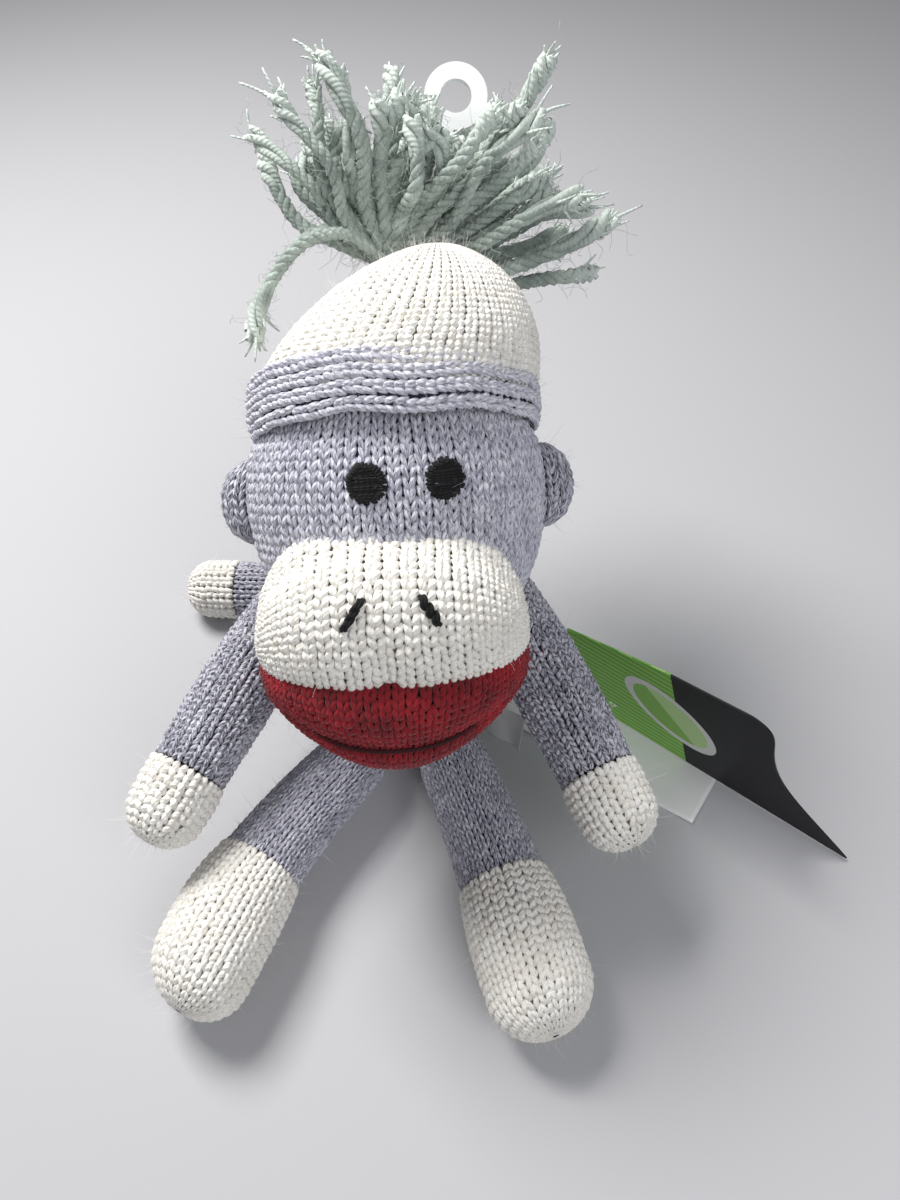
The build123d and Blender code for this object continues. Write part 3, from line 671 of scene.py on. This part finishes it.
# %% Helper for thread
def tubes(paths, radii, sides=6):
    """Tubes along paths (count, stations, 3) with radii (count, stations): points, faces and UVs. The two ends
    are closed for six sides only."""
    paths = np.asarray(paths, float)
    count, stations = paths.shape[:2]
    radii = np.broadcast_to(radii, (count, stations))
    ahead = np.gradient(paths, axis=1)
    ahead /= np.maximum(np.linalg.norm(ahead, axis=-1, keepdims=True), 1e-12)
    overall = paths[:, -1] - paths[:, 0]
    reference = np.eye(3)[np.abs(overall).argmin(axis=1)][:, None, :]
    aside = np.cross(ahead, reference)
    aside /= np.maximum(np.linalg.norm(aside, axis=-1, keepdims=True), 1e-12)
    above = np.cross(ahead, aside)
    angle = np.arange(sides) * 2 * math.pi / sides
    spokes = (aside[:, :, None] * np.cos(angle)[None, None, :, None]
              + above[:, :, None] * np.sin(angle)[None, None, :, None])
    points = paths[:, :, None] + spokes * radii[:, :, None, None]
    ring, step = np.meshgrid(np.arange(sides), np.arange(stations - 1))
    beside = (ring + 1) % sides
    wall = np.stack([step * sides + ring, step * sides + beside, (step + 1) * sides + beside,
                     (step + 1) * sides + ring],
                    axis=-1).reshape(-1, 4)
    last = (stations - 1) * sides
    ends = [[0, 3, 2, 1], [0, 5, 4, 3], [last, last + 1, last + 2, last + 3],
            [last, last + 3, last + 4, last + 5]]
    faces = np.concatenate([wall, ends])[None] + (np.arange(count) * stations * sides)[:, None, None]
    length = np.concatenate([np.zeros((count, 1)),
                             np.cumsum(np.linalg.norm(np.diff(paths, axis=1), axis=2), axis=1)], axis=1)
    uv = np.stack(np.broadcast_arrays(length[:, :, None] / MM, np.linspace(-1, 1, sides)[None, None]),
                  axis=-1)
    return points.reshape(-1, 3), faces.reshape(-1, 4), uv.reshape(-1, 2)


def thread_piece(name, parts, material, body, nodes, place=None, ends=None):
    """A piece of thread tubes that rides on its body in place of its CAD nodes."""
    piece = mesh_object(name, parts, (material,), place, ends)
    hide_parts(*nodes)
    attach(piece, body)
    return piece


BLACK = yarn_material("black_thread", (0.006, 0.006, 0.007), (0.002, 0.002, 0.003), sheen=0.0)
# Painted shade: a near-black red for the tube laid in the crease between the lips.
LIP_CREASE_SHADE = yarn_material("lip_crease_painted_shade", (0.05, 0.002, 0.005), (0.03, 0.001, 0.003), sheen=0.0)

# %% [markdown]
# ## Eyes, nostrils and the line of the mouth
# Each eye is satin stitch: flat rows of black thread, with a border of short stitches over their ends. A
# nostril is three stitches on top of each other. The line of the mouth is a dark tube laid in the crease
# between the lips: painted shade.

# %% Eyes
EYE_RADIUS = 3.9


def head_front(x, z):
    """How far forward the knitted face is at (x, z) in the head's frame, in millimetres."""
    radius = np.interp(z, [-23, -14, -4, 5, 14, 22], [28, 32.4, 34.4, 34.8, 33.4, 31.2])
    return -0.93 * math.sqrt(radius**2 - x**2) - 0.9


for side, x in (("left", -4.3), ("right", 12.2)):
    centre = np.array([x, head_front(x, 6.4), 6.4])
    outward = np.array([x / 34, centre[1] / 34, 0.0])
    outward /= np.linalg.norm(outward)
    aside = np.cross(outward, (0, 0, 1.0))
    upward = np.array((0, 0, 1.0))
    rows = []
    for height in np.linspace(-0.86, 0.86, 13):
        reach = math.sqrt(1 - height * height) * 0.9
        t = np.linspace(-1, 1, 7)
        bump = 0.35 + 0.25 * (1 - t**2) + rng.uniform(-0.1, 0.12)
        rows.append((centre + aside * EYE_RADIUS * (reach * t)[:, None]
                     + upward * EYE_RADIUS * (height + 0.05 * rng.normal() * t)[:, None]
                     + outward * bump[:, None]) * MM)
    border = []
    for turn in np.linspace(0, 2 * math.pi, 34, endpoint=False) + rng.uniform(-0.05, 0.05, 34):
        spoke = aside * math.cos(turn) + upward * math.sin(turn)
        outer, inner = EYE_RADIUS * rng.uniform(1.02, 1.14), EYE_RADIUS * 0.70
        t = np.linspace(0, 1, 6)
        lift = 1.0 * np.sin(math.pi * t) - 0.4
        border.append((centre + spoke * (outer + (inner - outer) * t)[:, None]
                       + outward * lift[:, None]) * MM)
    parts = [tubes(rows, 0.33 * MM), tubes(border, 0.40 * MM)]
    thread_piece(f"stitched_eye_{side}", parts, BLACK, "head", (f"eye_{side}",), HEAD_PLACE)

# %% Nostrils
for side, (x, z, slant) in (("left", (-8.0, -18.8, 0.5)), ("right", (7.6, -18.8, -0.5))):
    lumps = []
    for number in range(3):
        middle = np.array([x + slant * 2.2 * (number - 1), -44.6 - 0.2 * abs(x) * 0.1,
                           z + 1.7 * (number - 1)])
        t = np.linspace(-1, 1, 7)
        reach = np.array([slant * 1.3, 0, 1.35])
        arch = np.stack([0.35 * np.sin(2.5 * t), 0.9 * (1 - t * t) * -1 + 0.3, 0 * t], axis=1)
        for offset in (-0.38, 0.38):
            lumps.append((middle + np.array([offset, 0, 0]) + t[:, None] * reach + arch) * MM)
    thread_piece(f"stitched_nostril_{side}", [tubes(lumps, 0.5 * MM)], BLACK, "head", (f"nostril_{side}",),
                 HEAD_PLACE)

# %% Line of the mouth
# The dark tube along the crease between the lips paints the shade in that crease.
line_x = np.linspace(-24, 24, 41)
share = (1 - np.abs(line_x / MUZZLE_HALF_WIDTH) ** 2.3) ** (1 / 2.3)
line_path = np.stack([line_x * 0.86 - 1.8, -(20 + (34.9 - 20 + 0.9) * share), -30 + (-50.6 + 30) * share],
                     axis=1) * MM
thread_piece("mouth_crease_painted_shade", [tubes([line_path], 0.55 * MM)], LIP_CREASE_SHADE, "head", ("mouth_line",),
             HEAD_PLACE)

# %% [markdown]
# ## Tassel
# The tassel is a bunch of thick yarn tied to the hat. Each strand is three plies twisted together, and the
# cut end has come undone, so the plies open there and look paler. A few strands flop over to one side. Curly loose
# fibres stand all round.

# %% Tassel
TASSEL_ROOT = np.array(JOINTS["tassel_flop"]["pos_m"])
RIGHT, BACK = np.array([1.0, 0, 0]), np.array([0, 0.643, -0.766])
UPWARD = np.array([0, 0.766, 0.643])
STRANDS, PLY_STATIONS = 74, 34


def strand_plies(path, radius, fray):
    """Three twisted plies along a path of a strand, open at the frayed end: paths and radii."""
    ahead = np.gradient(path, axis=0)
    ahead /= np.linalg.norm(ahead, axis=1, keepdims=True)
    aside = np.cross(ahead, RIGHT + 0.3 * BACK)
    aside /= np.linalg.norm(aside, axis=1, keepdims=True)
    above = np.cross(ahead, aside)
    length = np.concatenate([[0], np.cumsum(np.linalg.norm(np.diff(path, axis=0), axis=1))])
    share = length / length[-1]
    open_end = np.clip((share - 1 + fray) / fray, 0, 1)
    plies, sizes = [], []
    start = rng.uniform(0, 2 * math.pi)
    for ply in range(3):
        turn = start + ply * 2 * math.pi / 3 + length / (7.5 * MM) * 2 * math.pi * (1 - 0.35 * open_end)
        away = radius * (0.58 + 0.5 * open_end**1.5)[:, None]
        plies.append(path + away * (aside * np.cos(turn)[:, None] + above * np.sin(turn)[:, None]))
        sizes.append(radius * 0.55 * (1 + 0.5 * open_end - 0.8 * open_end**6))
    return plies, sizes


def bend_through(points):
    """The even path through a few points."""
    return curve_through(points, PLY_STATIONS)


paths = []
axis_lean = math.radians(21)
for number in range(STRANDS):
    spread = math.radians(60) * math.sqrt((number + 0.5) / STRANDS)
    azimuth = number * 2.39996 + rng.normal(0, 0.12)
    in_plane, in_depth = spread * math.cos(azimuth), spread * math.sin(azimuth) * 0.8
    lean = axis_lean + in_plane
    final = (RIGHT * math.sin(lean) * math.cos(in_depth) + UPWARD * math.cos(lean) * math.cos(in_depth)
             + BACK * math.sin(in_depth))
    early_lean = axis_lean + in_plane * 1.5
    early = RIGHT * math.sin(early_lean) + UPWARD * math.cos(early_lean) + BACK * math.sin(in_depth * 1.3)
    early /= np.linalg.norm(early)
    reach = rng.uniform(40, 50) * MM * (1 - 0.12 * (lean < -0.1))
    if abs(lean - 0.2) < 0.35 and in_depth < 0.1:
        reach *= 0.72
    curl = rng.normal(0, 2.8, (2, 3)) * MM
    root = (TASSEL_ROOT + (RIGHT * math.cos(azimuth) + BACK * math.sin(azimuth)) * 3.4 * MM
            * math.sqrt((number + 0.5) / STRANDS))
    first = root + early * reach * 0.3
    second = first + (0.4 * early + 0.6 * final) * reach * 0.32 + curl[0]
    end = first + final * reach * 0.72 + curl[1] - np.array([0, 0, 1.5]) * MM
    path = bend_through([root - early * 1.0 * MM, first, second, end])
    sway = np.linspace(0, 1, PLY_STATIONS)[:, None]
    path += 1.1 * MM * sway * np.sin(sway * rng.uniform(5, 11, 3) + rng.uniform(0, 6, 3))
    paths.append(path)
for number, sideways in enumerate((-2.0, 0.9, 3.0)):
    flop = [(-2, -1, 0), (-11, 5.5, -3), (-21, 3.5, -4), (-28, -3.5, -4), (-32.5 - 0.5 * number, -12, -3),
            (-34 - number, -20, -2)]
    droop = [TASSEL_ROOT + (RIGHT * x + UPWARD * (y + 0.8 * sideways) + BACK * (z + 1.4 * sideways)) * MM
             for x, y, z in flop]
    paths.append(bend_through(droop))
ply_paths, ply_sizes, brush_paths = [], [], []
for path in paths:
    size = rng.uniform(1.45, 1.8) * MM
    plies, sizes = strand_plies(path, size, rng.uniform(0.14, 0.3))
    ply_paths += plies
    ply_sizes += sizes
    for _ in range(12):
        back = rng.integers(2, 6)
        start, ahead = path[-back], path[-1] - path[-4]
        ahead /= np.linalg.norm(ahead)
        aside = rng.normal(0, 0.34, 3)
        t = np.linspace(0, 1, 6)[:, None]
        reach = rng.uniform(2.0, 4.2) * MM
        brush_paths.append(start + aside * size * 1.2 + (ahead + 0.65 * aside) * reach * t
                           + rng.normal(0, 0.3, 3) * reach * t**2)
loose_paths = []
for path in paths:
    for _ in range(40):
        station = rng.integers(4, PLY_STATIONS)
        start = path[station]
        direction = rng.normal(0, 1, 3)
        direction /= np.linalg.norm(direction)
        curl = rng.normal(0, 1, 3)
        t = np.linspace(0, 1, 7)[:, None]
        reach = rng.uniform(1.5, 6) * MM
        wave = np.sin(t * rng.uniform(3, 8, 3) + rng.uniform(0, 6, 3)) * 0.25
        loose_paths.append(start + direction * 1.0 * MM + (direction * t + curl * 0.45 * t**2 + wave) * reach)
brush_size = 0.5 * MM * np.linspace(1, 0.45, 6)[None]
tassel_parts = [tubes(ply_paths, np.array(ply_sizes), 8), tubes(brush_paths, brush_size),
                tubes(loose_paths, 0.045 * MM)]
ply_ends = np.repeat(np.tile(np.clip(np.linspace(-3.2, 1, PLY_STATIONS), 0, 1), len(ply_paths)), 8)
tassel_ends = np.concatenate([ply_ends, np.ones(len(tassel_parts[1][0])),
                              np.full(len(tassel_parts[2][0]), 0.5)])
thread_piece("yarn_tassel", tassel_parts, SAGE, "tassel", ("tassel",), ends=tassel_ends)
tie_low, tie_high = (np.array(corner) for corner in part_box("tassel_tie"))
thread_angle = np.linspace(0, 2 * math.pi * 5, 90)
tie_centre, tie_half = (tie_low + tie_high) / 2, 4.4 * MM
tie_axis = RIGHT * math.sin(axis_lean) + UPWARD * math.cos(axis_lean)
tie_side = np.cross(tie_axis, BACK)
winding = (tie_centre + (tie_side * np.cos(thread_angle)[:, None]
                         + BACK * np.sin(thread_angle)[:, None]) * tie_half
           + tie_axis * ((thread_angle / thread_angle[-1] - 0.5) * 6 * MM)[:, None])
thread_piece("tassel_winding", [tubes([winding], 0.75 * MM)], SAGE, "tassel", ("tassel_tie",))

# %% [markdown]
# ## Tags
# The printed card is stiff: a green half with fine stripes, a black half, and a white ring across both in
# place of any printed mark. Its colours are worked out from how far a point lies along the card and up it, which
# dot products with the card's two edges give. The care label is satin ribbon, woven white.

# %% Card, labels and small fittings
CARD_CORNER = (0.062, -0.006, 0.0012)
CARD_ALONG = (0.788, -0.616, 0.0)
CARD_UP = (-0.128, -0.164, 0.978)
card_material, tree, main = shader("printed_card", (0.2, 0.5, 0.1), 0.5)
main.inputs["Specular IOR Level"].default_value = 0.25
place = node(tree, "ShaderNodeTexCoord").outputs["Object"]
offset = node(tree, "ShaderNodeVectorMath", {0: place, 1: CARD_CORNER}, operation="SUBTRACT").outputs[0]


def measure(direction, scale=1000.0):
    """How many millimetres a point of the card lies along a direction."""
    along = node(tree, "ShaderNodeVectorMath", {0: offset, 1: direction},
                 operation="DOT_PRODUCT").outputs["Value"]
    return node(tree, "ShaderNodeMath", {0: along, 1: scale}, operation="MULTIPLY").outputs[0]


def math_node(operation, first, second=0.0, third=0.0):
    """One maths node's result."""
    return node(tree, "ShaderNodeMath", {0: first, 1: second, 2: third}, operation=operation).outputs[0]


card_u, card_v = measure(CARD_ALONG), measure(CARD_UP)
stripes = math_node("GREATER_THAN", math_node("SINE", math_node("MULTIPLY", card_v, 2.6)), 0.25)
green = blend_colours(tree, stripes, (0.20, 0.50, 0.075), (0.36, 0.68, 0.16))
edge = math_node("MULTIPLY_ADD", card_v, 0.19, card_u)
black_side = math_node("GREATER_THAN", edge, 30.5)
printed = blend_colours(tree, black_side, green, (0.012, 0.012, 0.014))
ring_u = math_node("DIVIDE", math_node("SUBTRACT", card_u, 23.0), 15.0)
ring_v = math_node("DIVIDE", math_node("SUBTRACT", card_v, 25.0), 11.0)
tilted = math_node("MULTIPLY_ADD", ring_u, 0.55, ring_v)
distance = math_node("SQRT", math_node("ADD", math_node("MULTIPLY", ring_u, ring_u),
                                       math_node("MULTIPLY", tilted, tilted)))
inside = math_node("LESS_THAN", distance, 0.88)
on_ring = math_node("LESS_THAN", math_node("ABSOLUTE", math_node("SUBTRACT", distance, 0.93)), 0.095)
half = math_node("GREATER_THAN", math_node("ADD", ring_u, tilted), 0.0)
emblem = blend_colours(tree, half, (0.28, 0.58, 0.12), (0.55, 0.80, 0.36))
printed = blend_colours(tree, inside, printed, emblem)
printed = blend_colours(tree, on_ring, printed, (0.80, 0.80, 0.78))
tree.links.new(printed, main.inputs["Base Color"])

satin, tree, main = shader("white_satin", (0.80, 0.80, 0.80), 0.38, 0.2)
place = node(tree, "ShaderNodeTexCoord").outputs["Object"]
weave = node(tree, "ShaderNodeTexNoise", {"Vector": place, "Scale": 3500.0, "Detail": 2.0})
bump = node(tree, "ShaderNodeBump", {"Height": weave.outputs[0], "Strength": 0.15, "Distance": 0.0001})
tree.links.new(bump.outputs[0], main.inputs["Normal"])
plastic, tree, main = shader("white_plastic", (0.86, 0.87, 0.88), 0.35)
place = node(tree, "ShaderNodeTexCoord").outputs["Object"]
cloudy = node(tree, "ShaderNodeTexNoise", {"Vector": place, "Scale": 220.0, "Detail": 3.0})
tint = node(tree, "ShaderNodeMapRange", {"Value": cloudy.outputs[0], "To Min": 0.3, "To Max": 0.42})
tree.links.new(tint.outputs[0], main.inputs["Roughness"])
main.inputs["Subsurface Weight"].default_value = 0.25
main.inputs["Subsurface Radius"].default_value = (0.002, 0.002, 0.002)
nylon, tree, main = shader("clear_nylon", (0.75, 0.76, 0.76), 0.25)
place = node(tree, "ShaderNodeTexCoord").outputs["Object"]
cloudy = node(tree, "ShaderNodeTexNoise", {"Vector": place, "Scale": 400.0})
tint = node(tree, "ShaderNodeMapRange", {"Value": cloudy.outputs[0], "To Min": 0.2, "To Max": 0.3})
tree.links.new(tint.outputs[0], main.inputs["Roughness"])
main.inputs["Transmission Weight"].default_value = 0.6


def dress(material, *names):
    """Give carried-over CAD pieces a finish."""
    for name in names:
        mesh = frame["nodes"][name].data
        mesh.materials.clear()
        mesh.materials.append(material)


def ribbon(name, start, along, up, size, wave, nodes, body, flat_turn):
    """A strip of satin ribbon from start: a fine grid, bent a little and given its thickness."""
    bm = bmesh.new()
    bmesh.ops.create_grid(bm, x_segments=48, y_segments=16, size=0.5)
    along, up = Vector(along).normalized(), Vector(up).normalized()
    face = along.cross(up)
    for vert in bm.verts:
        u, v = vert.co.x + 0.5, vert.co.y
        lift = wave * (math.sin(5.5 * u + flat_turn) - math.sin(flat_turn)) + 0.35 * wave * math.sin(9 * u
                                                                                                     + 4 * v) * u
        vert.co = Vector(start) + along * (u * size[0]) + up * (v * size[1]) + face * lift
    bmesh.ops.recalc_face_normals(bm, faces=bm.faces)
    bmesh.ops.solidify(bm, geom=bm.faces[:], thickness=0.35 * MM)
    bmesh.ops.recalc_face_normals(bm, faces=bm.faces)
    mesh = bpy.data.meshes.new(name)
    bm.to_mesh(mesh)
    bm.free()
    mesh.polygons.foreach_set("use_smooth", np.ones(len(mesh.polygons), bool))
    mesh.materials.append(satin)
    piece = bpy.data.objects.new(name, mesh)
    scene.collection.objects.link(piece)
    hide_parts(*nodes)
    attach(piece, body)
    return piece


CARE_ALONG = Vector((0.83, -0.558, 0)).normalized()
CARE_SIDE = Vector((-CARE_ALONG.y, CARE_ALONG.x, 0))
ribbon("satin_care_label", Vector((0.0285, 0.0075, 0.0009)) + CARE_ALONG * 0.005, CARE_ALONG, CARE_SIDE,
       (0.071, 0.025), 0.0006,
       ("care_label",), "care_ribbon", 1.2)
ribbon("satin_small_label", (0.0257, -0.0172, 0.015), (0.8, -0.6, 0), (0.05, 0.1, 1), (0.0115, 0.0145),
       0.0005,
       ("small_label",), "small_ribbon", 0.3)
dress(card_material, "swing_card")
dress(plastic, "hang_hook")
dress(nylon, "tag_fastener")
SEAM = yarn_material("seam_thread", (0.46, 0.47, 0.57), (0.36, 0.37, 0.46))


def whip_stitches(node_name, body, count):
    """Short arched stitches all round a seam, in place of the plain ring that the CAD model has there."""
    points = node_points(node_name)
    centre = points.mean(0)
    values, axes = np.linalg.eigh(np.cov((points - centre).T))
    axis, first, second = axes[:, 0], axes[:, 1], axes[:, 2]
    radius = math.sqrt(values[1] + values[2])
    stitches = []
    for turn in np.linspace(0, 2 * math.pi, count, endpoint=False):
        spoke = first * math.cos(turn) + second * math.sin(turn)
        next_spoke = first * math.cos(turn + 0.25) + second * math.sin(turn + 0.25)
        t = np.linspace(-1, 1, 7)[:, None]
        stitches.append(centre + (spoke * (1 - t) + next_spoke * (1 + t)) / 2 * (radius
                                                                                 + 0.7 * MM * (1 - t * t))
                        + axis * t * 1.3 * MM)
    thread_piece(f"sewing_{node_name}", [tubes(stitches, 0.38 * MM)], SEAM, body, (node_name,))


whip_stitches("neck_seam", frame["nodes"]["neck_seam"]["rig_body"], 16)
whip_stitches("tail_seam", frame["nodes"]["tail_seam"]["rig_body"], 10)
for limb in ("arm", "leg"):
    for side in ("left", "right"):
        seam = f"{limb}_seam_{side}"
        whip_stitches(seam, frame["nodes"][seam]["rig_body"], 14)

# %% Floor and finish
FLOOR_HALF_SIZE = 1.5
floor_mesh = bpy.data.meshes.new("floor")
bm = bmesh.new()
bmesh.ops.create_grid(bm, x_segments=1, y_segments=1, size=FLOOR_HALF_SIZE)
bm.to_mesh(floor_mesh)
bm.free()
floor = bpy.data.objects.new("floor", floor_mesh)
floor_material = shader("pale_floor", (0.46, 0.46, 0.48), 0.9)[0]
floor_mesh.materials.append(floor_material)
scene.collection.objects.link(floor)
